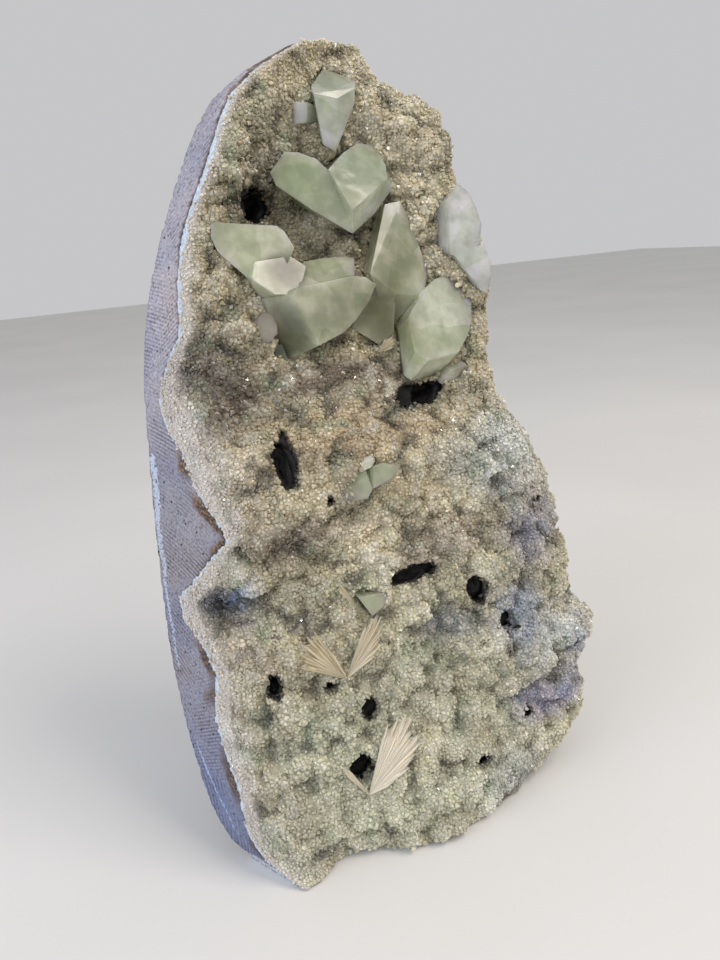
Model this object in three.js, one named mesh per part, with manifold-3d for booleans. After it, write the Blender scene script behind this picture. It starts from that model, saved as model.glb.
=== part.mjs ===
// A standing specimen of green apophyllite: one leaning slab of basalt from the wall of a vug, sawn on
// its left side and under its foot, its front lined with a crust of tiny quartz points. Apophyllite
// crystals stand in the bowl at the top and on the right rim, and fans of scolecite needles grow from
// small holes lower down. Millimetres, +Z up, the crystal face towards -Y, the origin under the middle
// of the bounding box.
import * as THREE from "three";
import { ConvexGeometry } from "three/addons/geometries/ConvexGeometry.js";
import { mergeVertices } from "three/addons/utils/BufferGeometryUtils.js";
import Module from "manifold-3d";

const wasm = await Module();
wasm.setup();

// Driving dimensions. A place on the specimen is [across, up, depth]: across and up are X and Z measured
// from the front left foot, and depth is how far it lies behind the leaning front plane. The crust is cut
// from a block CUT_ROOM thicker, by a solid that reaches CUT_DEPTH further back.
const HEIGHT = 324;
const LEAN = Math.tan(THREE.MathUtils.degToRad(10));
const FLARE = Math.tan(THREE.MathUtils.degToRad(25));
const CRUST = 5;
const GAP = 0.3;
const FOOT_GAP = 0.6;
const CUT_ROOM = 4;
const CUT_DEPTH = 60;
const ROW_STEP = 9.5;
const FRONT_COLUMNS = 19;
const ROCK_COLUMNS = 7;
const BACK_COLUMNS = 8;

// Curves up the specimen, each through its [up, value] points.
// Where the sawn side meets the front plane, as an across value.
const LEFT_EDGE = [
  [0, 3], [10, -3], [20, -5], [60, -5], [110, -2], [170, 2], [210, 5], [240, 10], [272, 19],
  [297, 31], [306, 39], [312, 46], [317, 58], [321, 68], [324, 71],
];
// The broken right-hand rim of the crust.
const RIGHT_EDGE = [
  [0, 106], [8, 121], [20, 139], [35, 148], [48, 148], [55, 155], [69, 156], [78, 149], [99, 149],
  [112, 144], [143, 141], [165, 131], [178, 122], [203, 121], [219, 124], [234, 126], [246, 122],
  [268, 116], [280, 115], [293, 113], [299, 106], [304, 93], [309, 79], [315, 79], [320, 79], [324, 76],
];
// The crust's depth along the sawn side, where it rolls over the edge and dips into two hollows.
const EDGE_DEPTH = [
  [0, 0], [8, 11], [20, 16], [39, 16], [52, 20], [65, 23], [79, 21], [90, 19], [97, 26], [106, 36], [114, 36],
  [121, 29], [128, 18], [137, 12], [146, 1], [152, 11], [160, 19], [170, 22], [182, 31], [196, 33], [206, 27],
  [219, 18], [235, 18], [250, 17], [262, 14], [276, 9], [291, 8], [305, 11], [324, 14],
];
// The depth of the sawn side's rear edge.
const SIDE_DEPTH = [
  [0, 30], [30, 40], [60, 45], [100, 49], [180, 46], [220, 41], [250, 34], [272, 28], [290, 25],
  [305, 24], [324, 23],
];
// How far the back stands out behind a straight line from edge to edge.
const BACK_SWELL = [[0, 46], [60, 44], [150, 36], [220, 28], [270, 20], [300, 12], [324, 4]];
// The thickness of rock at the right-hand rim.
const RIM_ROCK = [[0, 24], [60, 22], [180, 18], [290, 13], [324, 8]];

// Broad forms of the vug wall. A positive depth is a hollow, a negative one swells forward.
const FORMS = [
  { x: 62, z: 250, wide: 46, tall: 54, deep: 24 }, // the bowl that holds the apophyllite
  { x: 34, z: 268, wide: 20, tall: 24, deep: 8 }, // its dark upper left corner
  { x: 2, z: 196, wide: 34, tall: 20, deep: 12 }, // the hollow on the sawn edge, below the bowl
  { x: 0, z: 109, wide: 24, tall: 13, deep: 16 }, // the blue hollow on the sawn edge
  { x: 8, z: 147, wide: 24, tall: 10, deep: -7 }, // the ridge between these two
  { x: 62, z: 163, wide: 52, tall: 19, deep: -6 }, // the lit swelling below the bowl
  { x: 40, z: 126, wide: 30, tall: 10, deep: 3 },
  { x: 118, z: 150, wide: 22, tall: 26, deep: -3 },
  { x: 80, z: 84, wide: 14, tall: 9, deep: 8 },
  { x: 118, z: 44, wide: 15, tall: 8, deep: 7 },
  { x: 140, z: 76, wide: 12, tall: 6, deep: 5 },
  { x: 26, z: 58, wide: 22, tall: 18, deep: -3 },
  { x: 75, z: 14, wide: 34, tall: 14, deep: -4 },
  { x: 98, z: 181, wide: 18, tall: 10, deep: 5 }, // the dark shelf under the right-hand crystal
  { x: 70, z: 334, wide: 60, tall: 30, deep: 13 }, // the top, where the crust rolls back
  { x: 27, z: -6, wide: 22, tall: 16, deep: 14 }, // the arch under the front of the foot
];
const FORM_EDGE = 1.4;
const EDGE_FADE = 24;
const LEAST_WIDTH = 6;
const RIM_ROLL = { wide: 13, deep: 5 };
const RIM_TURN = { wide: 60, deep: 7 };
const RIM_DEPTH = RIM_ROLL.deep + RIM_TURN.deep;
const SWELLS = { size: 30, deep: 5 };
const LUMPS = { size: 12, deep: 3.2 };
const LUMP_FADE = 8;
const FRACTURE = { size: 24, deep: 7 };
// The broken right-hand rim: its corners as shares of the rock's thickness there, how far it steps in at
// the back, and its unevenness.
const RIM_SHARES = [0.35, 0.75];
const RIM_STEP_IN = 3;
const RIM_BREAKS = { wide: 4, size: 14, spacing: 40 };
const BACK_ROUNDNESS = 0.8;

// Holes in the crust: place, half width and height, how deep, and the turn of the long side in degrees.
// Those at least THROUGH deep go on into the rock, and those over LARGE_HOLE in area have finer faces.
const THROUGH = 8;
const LARGE_HOLE = 20;
const HOLE_REACH = 0.85;
const HOLE_UNEVEN = 0.35;
const HOLES = [
  { at: [21, 169, -2], size: [3.4, 11], deep: 10, turn: 6 },
  { at: [36, 154, -5], size: [2.2, 2.6], deep: 7, turn: 0 },
  { at: [69, 114, -1], size: [11.5, 4], deep: 11, turn: 6 },
  { at: [99, 100, 0], size: [4.6, 6.2], deep: 10, turn: 10 },
  { at: [112, 83, 2], size: [4, 4.4], deep: 8, turn: 0 },
  { at: [4, 85, 8], size: [3.2, 5.6], deep: 9, turn: 8 },
  { at: [27, 79, 0], size: [4, 2.6], deep: 7, turn: 0 },
  { at: [41, 66, -1], size: [4.2, 4.6], deep: 8, turn: -20 },
  { at: [33, 44, -2], size: [5.6, 5.6], deep: 10, turn: 15 },
  { at: [88, 28, -2], size: [4.4, 3.4], deep: 9, turn: 10 },
  { at: [90, 184, 9], size: [9.5, 5], deep: 9, turn: 10 },
  { at: [139, 130, 4], size: [2, 2.2], deep: 6, turn: 0 },
  { at: [118, 36, 6], size: [3, 2.4], deep: 6, turn: 0 },
  { at: [36, 264, 32], size: [8, 6.5], deep: 8, turn: 30 },
];

// Apophyllite crystals. Each has flat faces and the place in the rock that it grows from. A face's first
// three corners set its plane; the others give only across and up, and lie in it.
const APOPHYLLITE = {
  apophyllite_top: [
    {
      faces: [
        [[71.7, 314, 17], [83.9, 309, 14], [61.4, 303, 7], [80.7, 310], [62, 306], [71, 301], [77.4, 305]],
        [[61.4, 303, 7], [79.7, 305, 8], [70, 282, 14], [79.5, 299.6], [74, 289.5], [64.6, 285], [64, 295]],
      ],
      root: [73, 298, 24],
    },
    { faces: [[[54.8, 301, 13], [60.3, 300.6, 12], [59.7, 293.4, 14], [54.6, 293.2]]], root: [70, 297, 22] },
  ],
  apophyllite_upper_pair: [
    {
      faces: [
        [[48.7, 283, 15], [62.3, 275, 7], [67.3, 250.5, 4], [53.4, 282.4], [59, 279.4], [68.5, 259.4],
          [54.6, 261], [51, 265.3], [48, 269.7], [44, 271], [42.7, 276], [46.7, 279.5]],
      ],
      root: [58, 269, 34],
    },
    {
      faces: [
        [[62.3, 275, 6], [86.6, 270.4, 5], [65.6, 259.2, -3], [72, 281.5], [80, 285], [86.8, 284.2],
          [88, 280.6], [88.4, 276]],
        [[65.6, 259.2, -3], [86.6, 270.4, 5], [67.8, 250.5, 5], [91, 267.3], [90, 265.3], [81.2, 257.3]],
      ],
      root: [76, 270, 34],
    },
  ],
  apophyllite_left_group: [
    {
      faces: [
        [[13.7, 259, 12], [40.3, 253.5, 7], [30.4, 231.2, 2], [23.5, 257.6], [29, 256.6], [38, 255.7],
          [42.6, 247.2], [40.3, 244.2], [21, 239.2], [13.7, 248], [12.5, 253.3]],
      ],
      root: [32, 248, 36],
    },
    {
      faces: [
        [[40.5, 244.2, 5], [45.6, 240, 4], [37, 230.5, 0], [40.6, 231.8], [29.6, 231.3], [22.4, 237.5],
          [25.5, 243.5]],
        [[21.6, 239, 7], [30.4, 231.2, 2], [27.5, 229.6, 12], [25.6, 234]],
      ],
      root: [36, 240, 36],
    },
    {
      faces: [
        [[46.6, 241.6, 8], [69.8, 241, 11], [39.6, 232.7, 0], [54.2, 242.2], [65.2, 242], [68, 238],
          [66, 234.5]],
      ],
      root: [56, 236, 34],
    },
    {
      faces: [
        [[36, 230.7, -3], [69.5, 233.7, 3], [44.2, 210.6, 0], [38.6, 232.8], [63.5, 234.7], [74.2, 230.3],
          [70, 224.5], [62.5, 217.8], [55.6, 213.7]],
        [[36, 230.7, -3], [44.2, 210.6, 0], [27.5, 225, 12], [27, 229.6], [35, 204.2]],
      ],
      root: [52, 228, 34],
    },
    {
      faces: [
        [[23, 222.7, 12], [30.6, 223.2, 9], [24.5, 212.8, 11], [27.4, 224.8], [31.5, 219.5], [31.3, 216.2],
          [28, 213.3], [23, 217.8]],
      ],
      root: [33, 219, 30],
    },
    {
      faces: [[[28.7, 210.4, 13], [33.2, 211.6, 11], [35.2, 204.1, 12], [30.1, 205.8], [27.4, 208.1]]],
      root: [36, 210, 28],
    },
  ],
  apophyllite_right_group: [
    {
      faces: [
        [[83.6, 249.6, 14], [103, 234, 12], [83, 226, 6], [98.3, 225.6], [93.7, 224], [74, 234.5]],
        [[88.1, 260.9, 13], [95.3, 261.7, 13], [98.8, 252, 13], [101.3, 242.1]],
        [[83, 226, 6], [95.8, 223.7, 7], [81.7, 212.3, 13], [90, 220.3]],
      ],
      root: [90, 236, 34],
    },
    {
      faces: [
        [[73.8, 233.2, 12], [84.4, 231.4, 8], [74.1, 206.4, 10], [84, 225.4], [80.6, 209.8], [65, 213.6],
          [66.5, 216.8]],
      ],
      root: [77, 219, 34],
    },
    {
      faces: [
        [[83.5, 216.4, -1], [115.6, 211.5, 3], [86.7, 199.8, -7], [87.5, 219.2], [96, 226], [103.6, 229.5],
          [115.3, 231.5], [119.8, 228], [119.9, 221.6], [110.5, 206], [103.4, 201], [81.8, 203.8],
          [82.6, 210.7]],
        [[86.7, 199.8, -7], [103, 200.7, -4], [99.3, 191.6, 8], [84, 190.5], [91.3, 189]],
        [[83.5, 216.4, -1], [82.5, 203.6, -5], [83, 211.6, 8], [81.5, 193]],
      ],
      root: [99, 212, 28],
    },
    {
      faces: [
        [[97.4, 187.6, 6], [102.3, 192.5, 4], [113, 192, 4], [109.6, 194.3], [108, 187], [101.8, 185.5]],
      ],
      root: [102, 202, 20],
    },
  ],
  apophyllite_rim: [
    {
      faces: [
        [[114, 261, 6], [126.7, 249.5, 3], [111.2, 238.5, 5], [119.4, 266.7], [123.4, 263], [125.6, 256.6],
          [124.3, 241.7], [116.4, 238]],
      ],
      root: [116, 250, 20],
    },
    {
      faces: [
        [[111.5, 240.2, 5], [126.8, 228.2, 1], [122, 228.2, 2.3], [125.4, 241.6], [127.5, 233.5],
          [122, 223], [124, 221.6]],
      ],
      root: [122, 234, 20],
    },
  ],
  apophyllite_middle: [
    {
      faces: [[[55.7, 163.4, -7], [66.2, 161.6, -8], [53.7, 155.5, -9], [60.4, 163.8], [63.8, 158.3]]],
      root: [55, 160, 5],
    },
    {
      faces: [
        [[45.4, 161.8, -7], [52.3, 162.4, -7], [50.2, 152, -9], [53.2, 155.1], [40.7, 153.2], [41, 157.4]],
      ],
      root: [55, 160, 5],
    },
    {
      faces: [[[52.4, 168.4, -3], [60.3, 167.6, -3], [54.5, 163, -7], [48.3, 162.4], [56.8, 164.2]]],
      root: [55, 160, 5],
    },
  ],
  apophyllite_ledge: [
    { faces: [[[42, 113, -3], [56, 111, -2], [52, 107, -4], [46, 105]]], root: [48, 109, 5] },
  ],
};
// A crystal's root is ROOT_SIZE times its head, and its socket in the crust is SOCKET_ROOM wider.
const ROOT_SIZE = 0.6;
const SOCKET_ROOM = 0.5;

// Scolecite: fans of needles grown side by side from one root. Tips run from one side to the other.
const SCOLECITE = {
  scolecite_bow: [
    {
      root: [32, 82, -2],
      tips: [[11, 95, -7], [13, 102, -8], [15, 106, -9], [19, 109, -9], [22, 104, -8], [26, 97, -6]],
    },
    {
      root: [32, 82, -2],
      tips: [[42, 104, -8], [46, 107, -9], [49, 108, -9], [50, 103, -8], [49, 98, -7], [46, 91, -6]],
    },
  ],
  scolecite_lower: [
    {
      root: [33, 33, -3],
      tips: [
        [43, 64, -10], [49, 67, -12], [54, 68, -13], [53, 61, -13], [57, 57, -13], [55, 51, -12],
        [51, 43, -9], [43, 36, -5],
      ],
    },
    { root: [33, 33, -3], tips: [[20, 54, -7], [23, 50, -7]] },
  ],
  scolecite_blades: [{ root: [42, 107, -1], tips: [[32, 121, -5], [35, 122, -4]] }],
  scolecite_tuft: [
    { root: [74.3, 203, 12], tips: [[76, 209.6, 6], [79.5, 209.8, 4], [80.2, 207.6, 4], [79.4, 205, 5]] },
  ],
};
// A fan's notches lie at NOTCH of its length, and its outer sides stand SIDE_ROOM of a tip beyond the tips.
const NOTCH = 0.72;
const SIDE_ROOM = 0.35;
const NEEDLE_THICK = 1.6;
const ROOT_THICK = 2.2;
const ROOT_RADIUS = 1.9;

// A smooth value at height z on a curve given by its [up, value] points.
function valueAt(points, z) {
  const last = points.length - 1;
  if (z <= points[0][0]) return points[0][1];
  if (z >= points[last][0]) return points[last][1];
  const i = points.findIndex((p) => p[0] > z) - 1;
  const slope = (a, b) => (points[b][1] - points[a][1]) / (points[b][0] - points[a][0]);
  const step = points[i + 1][0] - points[i][0];
  const t = (z - points[i][0]) / step;
  const startSlope = i > 0 ? slope(i - 1, i + 1) : slope(i, i + 1);
  const endSlope = i + 1 < last ? slope(i, i + 2) : slope(i, i + 1);
  return (
    points[i][1] * (1 + 2 * t) * (1 - t) ** 2 +
    points[i + 1][1] * t * t * (3 - 2 * t) +
    step * startSlope * t * (1 - t) ** 2 -
    step * endSlope * t * t * (1 - t)
  );
}

// A repeatable number from 0 to 1 for each whole-number cell.
function cellValue(i, j, k) {
  const wave = Math.sin(i * 127.1 + j * 311.7 + k * 74.7) * 43758.5453;
  return wave - Math.floor(wave);
}

// Smooth noise from -0.5 to 0.5 that changes over the given size.
function noise(x, z, size, seed) {
  const [u, v] = [x / size, z / size];
  const [i, j] = [Math.floor(u), Math.floor(v)];
  const fade = (t) => t * t * (3 - 2 * t);
  const [s, t] = [fade(u - i), fade(v - j)];
  const low = THREE.MathUtils.lerp(cellValue(i, j, seed), cellValue(i + 1, j, seed), s);
  const high = THREE.MathUtils.lerp(cellValue(i, j + 1, seed), cellValue(i + 1, j + 1, seed), s);
  return THREE.MathUtils.lerp(low, high, t) - 0.5;
}

const point = (x, z, depth) => new THREE.Vector3(x, z * LEAN + depth, z);

// The depth of the broad forms alone.
function formDepth(x, z) {
  let depth = noise(x, z, SWELLS.size, 1) * SWELLS.deep;
  for (const form of FORMS) {
    const spread = ((x - form.x) / form.wide) ** 2 + ((z - form.z) / form.tall) ** 2;
    depth += form.deep * Math.exp(-(spread ** FORM_EDGE));
  }
  return depth;
}

// The across values of the crust's two edges at height z. Both sides flare towards the back.
function edges(z) {
  const left = valueAt(LEFT_EDGE, z) - FLARE * valueAt(EDGE_DEPTH, z);
  const rim = valueAt(RIGHT_EDGE, z);
  const right = Math.max(rim + FLARE * (formDepth(rim, z) + RIM_DEPTH), left + LEAST_WIDTH);
  return { left, right };
}

// How far the vug wall lies behind the front plane. It meets the sawn side at EDGE_DEPTH and rolls off at
// the rim.
function wallDepth(x, z) {
  const { left, right } = edges(z);
  const inside = THREE.MathUtils.clamp(x, left, right);
  const fade = (distance, wide) => Math.max(0, 1 - distance / wide) ** 2;
  let depth = formDepth(inside, z);
  depth += RIM_ROLL.deep * fade(right - inside, RIM_ROLL.wide);
  depth += RIM_TURN.deep * fade(right - inside, RIM_TURN.wide);
  return THREE.MathUtils.lerp(depth, valueAt(EDGE_DEPTH, z), fade(inside - left, EDGE_FADE));
}

// The crust's own rounded lumps on that wall, dying out towards its edges.
function lumps(x, z) {
  const { left, right } = edges(z);
  const room = THREE.MathUtils.clamp(Math.min(x - left, right - x) / LUMP_FADE, 0, 1);
  return (noise(x, z, LUMPS.size, 2) + 0.5 * noise(x, z, LUMPS.size / 2, 3)) * LUMPS.deep * room;
}

// Points across the section at height z, left to right, at a thickness behind the crust's surface.
function frontRow(z, columns, thickness, withLumps = false) {
  const { left, right } = edges(z);
  return Array.from({ length: columns + 1 }, (_, i) => {
    const x = THREE.MathUtils.lerp(left - FLARE * thickness, right + FLARE * thickness, i / columns);
    return point(x, z, wallDepth(x, z) + thickness + (withLumps ? lumps(x, z) : 0));
  });
}

// A closed solid from rings of points, one ring for each height, bottom to top.
function stack(rings) {
  const count = rings[0].length;
  const middle = (ring) => ring.reduce((sum, p) => sum.add(p), new THREE.Vector3()).divideScalar(count);
  const vertices = [...rings.flat(), middle(rings[0]), middle(rings.at(-1))];
  const faces = [];
  const [foot, head] = [vertices.length - 2, vertices.length - 1];
  const top = (rings.length - 1) * count;
  for (let i = 0; i < count; i++) {
    const next = (i + 1) % count;
    faces.push(foot, next, i, head, top + i, top + next);
    for (let row = 0; row < rings.length - 1; row++) {
      const [low, high] = [row * count, (row + 1) * count];
      faces.push(low + i, low + next, high + next, low + i, high + next, high + i);
    }
  }
  return manifoldOf(new Float32Array(vertices.flatMap((p) => [p.x, p.y, p.z])), new Uint32Array(faces));
}

function manifoldOf(vertProperties, triVerts) {
  return new wasm.Manifold(new wasm.Mesh({ numProp: 3, vertProperties, triVerts }));
}

// A closed three.js geometry as a solid.
function solidOf(geometry) {
  const bare = new THREE.BufferGeometry().setAttribute("position", geometry.getAttribute("position"));
  if (geometry.index) bare.setIndex(geometry.index);
  const merged = mergeVertices(bare, 1e-4);
  return manifoldOf(merged.attributes.position.array, new Uint32Array(merged.index.array));
}

const hull = (points) => solidOf(new ConvexGeometry(points));

function geometryOf(solid) {
  const mesh = solid.getMesh();
  return new THREE.BufferGeometry()
    .setAttribute("position", new THREE.BufferAttribute(mesh.vertProperties, 3))
    .setIndex(new THREE.BufferAttribute(mesh.triVerts, 1))
    .toNonIndexed();
}

// Sections of a block at even heights, from start to the top. spare adds room beyond both ends, for a cut.
function sections(start, ring, spare = 0) {
  const rows = Math.round((HEIGHT - start) / ROW_STEP);
  const height = (i) => THREE.MathUtils.lerp(start, HEIGHT, i / rows);
  const rings = Array.from({ length: rows + 1 }, (_, i) => ring(height(i)));
  if (spare) {
    const moved = (points, up) => points.map((p) => p.clone().add(new THREE.Vector3(0, 0, up)));
    return [moved(rings[0], -spare), ...rings, moved(rings.at(-1), spare)];
  }
  return rings;
}

// The crust's full block, before the rock behind it is cut away: its lumpy face in front and a plain one
// inside.
function crustBlock() {
  const ring = (z) => [
    ...frontRow(z, FRONT_COLUMNS, 0, true),
    ...frontRow(z, ROCK_COLUMNS, CRUST + CUT_ROOM).reverse(),
  ];
  return stack(sections(FOOT_GAP, ring));
}

// The basalt. Its front lies under the crust, its left side is one sawn face, and its back is broken rock.
function rockRing(z) {
  const face = frontRow(z, ROCK_COLUMNS, CRUST);
  const last = face.at(-1);
  const sideDepth = valueAt(SIDE_DEPTH, z);
  const rearLeft = point(valueAt(LEFT_EDGE, z) - FLARE * sideDepth, z, sideDepth);
  const rearRight = last.clone().add(new THREE.Vector3(-RIM_STEP_IN, valueAt(RIM_ROCK, z), 0));
  const rim = RIM_SHARES.map((share) => {
    const p = last.clone().lerp(rearRight, share);
    p.x += RIM_BREAKS.wide * noise(share * RIM_BREAKS.spacing, z, RIM_BREAKS.size, 5);
    return p;
  });
  const back = Array.from({ length: BACK_COLUMNS + 1 }, (_, i) => {
    const w = i / BACK_COLUMNS;
    const p = rearRight.clone().lerp(rearLeft, w);
    const broken = noise(p.x, z, FRACTURE.size, 6) + 0.5 * noise(p.x, z, FRACTURE.size / 2, 7);
    const swell = valueAt(BACK_SWELL, z) + broken * FRACTURE.deep;
    p.y += Math.sin(Math.PI * w) ** BACK_ROUNDNESS * swell;
    return p;
  });
  return [...face, ...rim, ...back];
}

// What is cut from the crust: everything behind a face a little in front of the rock's.
function crustCut() {
  const ring = (z) => {
    const face = frontRow(z, ROCK_COLUMNS, CRUST - GAP);
    const rear = [face.at(-1), face[0]].map((p) => p.clone().add(new THREE.Vector3(0, CUT_DEPTH, 0)));
    const [right, left] = rear;
    right.x += CUT_DEPTH;
    left.x -= CUT_DEPTH;
    return [...face, right, left];
  };
  return stack(sections(0, ring, CUT_ROOM));
}

// An uneven hole, rounded inside, that opens at the crust's surface.
function holeSolid({ at, size, deep, turn }) {
  const detail = size[0] * size[1] > LARGE_HOLE ? 1 : 0;
  const sphere = new THREE.IcosahedronGeometry(1, detail).deleteAttribute("normal").deleteAttribute("uv");
  const ball = mergeVertices(sphere);
  const position = ball.getAttribute("position");
  const angle = THREE.MathUtils.degToRad(turn);
  for (let i = 0; i < position.count; i++) {
    const reach = HOLE_REACH + HOLE_UNEVEN * cellValue(i, at[0], at[1]);
    const across = position.getX(i) * size[0] * reach;
    const up = position.getZ(i) * size[1] * reach;
    const x = at[0] + across * Math.cos(angle) - up * Math.sin(angle);
    const z = at[1] + across * Math.sin(angle) + up * Math.cos(angle);
    const p = point(x, z, at[2] + position.getY(i) * deep);
    position.setXYZ(i, p.x, p.y, p.z);
  }
  return solidOf(ball);
}

// A face's corners, those without a depth of their own set on the plane of the first three.
function faceCorners(face) {
  const first = face.slice(0, 3).map((corner) => point(...corner));
  const { normal, constant } = new THREE.Plane().setFromCoplanarPoints(...first);
  return face.map(([x, z, depth]) => {
    if (depth !== undefined) return point(x, z, depth);
    return new THREE.Vector3(x, -(normal.x * x + normal.z * z + constant) / normal.y, z);
  });
}

// A crystal: the hull of its face corners and of a smaller copy of them at its root, grown outwards by grow
// for a cut.
function crystalSolid({ faces, root }, grow) {
  const corners = faces.flatMap(faceCorners);
  const middle = corners.reduce((sum, p) => sum.add(p), new THREE.Vector3()).divideScalar(corners.length);
  const radius = Math.min(...corners.map((p) => p.distanceTo(middle)));
  const scale = (radius + grow) / radius;
  return hull(corners.flatMap((p) => {
    const reach = p.clone().sub(middle).multiplyScalar(scale);
    return [middle.clone().add(reach), point(...root).addScaledVector(reach, ROOT_SIZE)];
  }));
}

// A fan of needles: pleated front and back, with a tip for each needle and notches between the tips.
function fanSolid({ root, tips }, grow) {
  const base = point(...root);
  const ends = tips.map((tip) => point(...tip));
  const middle = ends.reduce((sum, p) => sum.add(p), new THREE.Vector3()).divideScalar(ends.length);
  const along = middle.clone().sub(base).normalize();
  const across = ends.at(-1).clone().sub(ends[0]).normalize();
  const through = new THREE.Vector3().crossVectors(across, along).normalize();
  const reach = (tip, share) => base.clone().lerp(tip, share);
  const pairs = ends.slice(1).map((tip, i) => tip.clone().lerp(ends[i], 0.5));
  const firstSide = ends[0].clone().lerp(ends[1], -SIDE_ROOM);
  const lastSide = ends.at(-1).clone().lerp(ends.at(-2), -SIDE_ROOM);
  const notches = [firstSide, ...pairs, lastSide].map((tip) => reach(tip, NOTCH));
  const count = ends.length;
  const vertices = [];
  const add = (p) => vertices.push(p) - 1;
  const rootFront = add(base.clone().addScaledVector(through, ROOT_THICK / 2 + grow));
  const rootBack = add(base.clone().addScaledVector(through, -ROOT_THICK / 2 - grow));
  const notch = notches.map((p) => add(p));
  const tip = ends.map((p) => add(p.clone().addScaledVector(along, grow)));
  const front = ends.map((p) => add(reach(p, NOTCH).addScaledVector(through, NEEDLE_THICK / 2 + grow)));
  const back = ends.map((p) => add(reach(p, NOTCH).addScaledVector(through, -NEEDLE_THICK / 2 - grow)));
  const faces = [rootFront, notch[0], rootBack, rootBack, notch[count], rootFront];
  for (let i = 0; i < count; i++) {
    faces.push(rootFront, front[i], notch[i], rootFront, notch[i + 1], front[i]);
    faces.push(notch[i], front[i], tip[i], front[i], notch[i + 1], tip[i]);
    faces.push(rootBack, notch[i], back[i], rootBack, back[i], notch[i + 1]);
    faces.push(notch[i], tip[i], back[i], back[i], tip[i], notch[i + 1]);
  }
  return manifoldOf(new Float32Array(vertices.flatMap((p) => [p.x, p.y, p.z])), new Uint32Array(faces));
}

// The fans of one spray, joined by the knot that they grow from.
function spraySolid(fans, grow) {
  const centre = point(...fans[0].root);
  const knot = new THREE.IcosahedronGeometry(ROOT_RADIUS + grow).translate(...centre.toArray());
  return wasm.Manifold.union([solidOf(knot), ...fans.map((fan) => fanSolid(fan, grow))]);
}

const PALE_DRUSE = new THREE.MeshStandardMaterial({ color: "#b9b8a8", roughness: 0.35, metalness: 0 });
const BASALT = new THREE.MeshStandardMaterial({ color: "#6f656b", roughness: 0.85, metalness: 0 });
const GREEN_CRYSTAL = new THREE.MeshPhysicalMaterial({
  color: "#b4cbb2", roughness: 0.12, metalness: 0, transmission: 0.7, ior: 1.535, thickness: 12,
});
const CREAM_NEEDLES = new THREE.MeshStandardMaterial({ color: "#d8ccb4", roughness: 0.45, metalness: 0 });

const specimen = new THREE.Group();
function addPiece(name, solid, material) {
  const mesh = new THREE.Mesh(geometryOf(solid), material);
  mesh.name = name;
  specimen.add(mesh);
}

// The holes go through the crust and on into the rock. Each crystal and fan stands in a socket in the crust.
const holes = wasm.Manifold.union(HOLES.map(holeSolid));
const deepHoles = wasm.Manifold.union(HOLES.filter(({ deep }) => deep >= THROUGH).map(holeSolid));
const rock = stack(sections(0, rockRing)).subtract(deepHoles);
const inner = crustCut();
const crystals = Object.entries(APOPHYLLITE).map(([name, parts]) => [
  name,
  wasm.Manifold.union(parts.map((part) => crystalSolid(part, 0))).subtract(inner),
]);
const sprays = Object.entries(SCOLECITE).map(([name, spray]) => [name, spraySolid(spray, 0).subtract(inner)]);
const sockets = wasm.Manifold.union([
  ...Object.values(APOPHYLLITE).flat().map((part) => crystalSolid(part, SOCKET_ROOM)),
  ...Object.values(SCOLECITE).map((spray) => spraySolid(spray, GAP)),
]);
const crust = crustBlock().subtract(inner).subtract(holes).subtract(sockets);

addPiece("basalt_matrix", rock, BASALT);
addPiece("quartz_druse", crust, PALE_DRUSE);
for (const [name, solid] of crystals) addPiece(name, solid, GREEN_CRYSTAL);
for (const [name, solid] of sprays) addPiece(name, solid, CREAM_NEEDLES);

// Puts the origin under the middle of the bounding box.
const bounds = new THREE.Box3().setFromObject(specimen);
const centre = bounds.getCenter(new THREE.Vector3());
specimen.position.set(-centre.x, -centre.y, -bounds.min.z);

const part = new THREE.Group();
part.add(specimen);
export default part;
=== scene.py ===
"""A standing specimen of green apophyllite and scolecite on a crust of quartz druse, on a slab of basalt.

Metres, +Z up, the crystal face towards -Y. The CAD model is the frame; this script dresses it.
"""

import bmesh
import bpy
import numpy as np
from mathutils import Matrix, Vector


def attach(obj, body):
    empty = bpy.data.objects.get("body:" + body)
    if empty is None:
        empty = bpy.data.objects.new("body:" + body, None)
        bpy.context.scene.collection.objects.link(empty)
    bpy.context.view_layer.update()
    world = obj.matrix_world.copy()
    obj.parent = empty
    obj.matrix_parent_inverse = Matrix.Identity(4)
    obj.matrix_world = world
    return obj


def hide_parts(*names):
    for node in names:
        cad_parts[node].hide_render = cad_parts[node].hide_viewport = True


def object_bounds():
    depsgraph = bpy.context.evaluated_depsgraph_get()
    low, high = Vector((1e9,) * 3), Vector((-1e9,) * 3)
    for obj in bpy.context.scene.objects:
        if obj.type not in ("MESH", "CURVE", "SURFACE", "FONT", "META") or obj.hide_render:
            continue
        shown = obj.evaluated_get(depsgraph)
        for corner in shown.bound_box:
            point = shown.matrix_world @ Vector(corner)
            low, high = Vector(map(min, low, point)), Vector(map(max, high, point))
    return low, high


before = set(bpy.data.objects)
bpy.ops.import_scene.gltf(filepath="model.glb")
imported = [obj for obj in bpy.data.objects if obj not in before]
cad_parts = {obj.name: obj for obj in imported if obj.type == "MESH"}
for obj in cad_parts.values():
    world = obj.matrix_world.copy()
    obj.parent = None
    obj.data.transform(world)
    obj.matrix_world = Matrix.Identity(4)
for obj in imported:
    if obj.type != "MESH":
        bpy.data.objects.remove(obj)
cad_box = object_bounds()
rng = np.random.default_rng(7)

# Basalt slab
# The wall of the vug: fine-grained mauve-grey basalt. A slab saw cut its left side and its foot flat; the
# back and the right-hand rim are broken rock, brown from weathering. It carries all the rest.
MM = 0.001
FRONT_FOOT = np.array([-69.3792, -50.5363, 0.0]) * MM
LEAN = np.tan(np.radians(10))
FLARE = np.radians(25)
ROCK_GRID = 1.5 * MM
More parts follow.
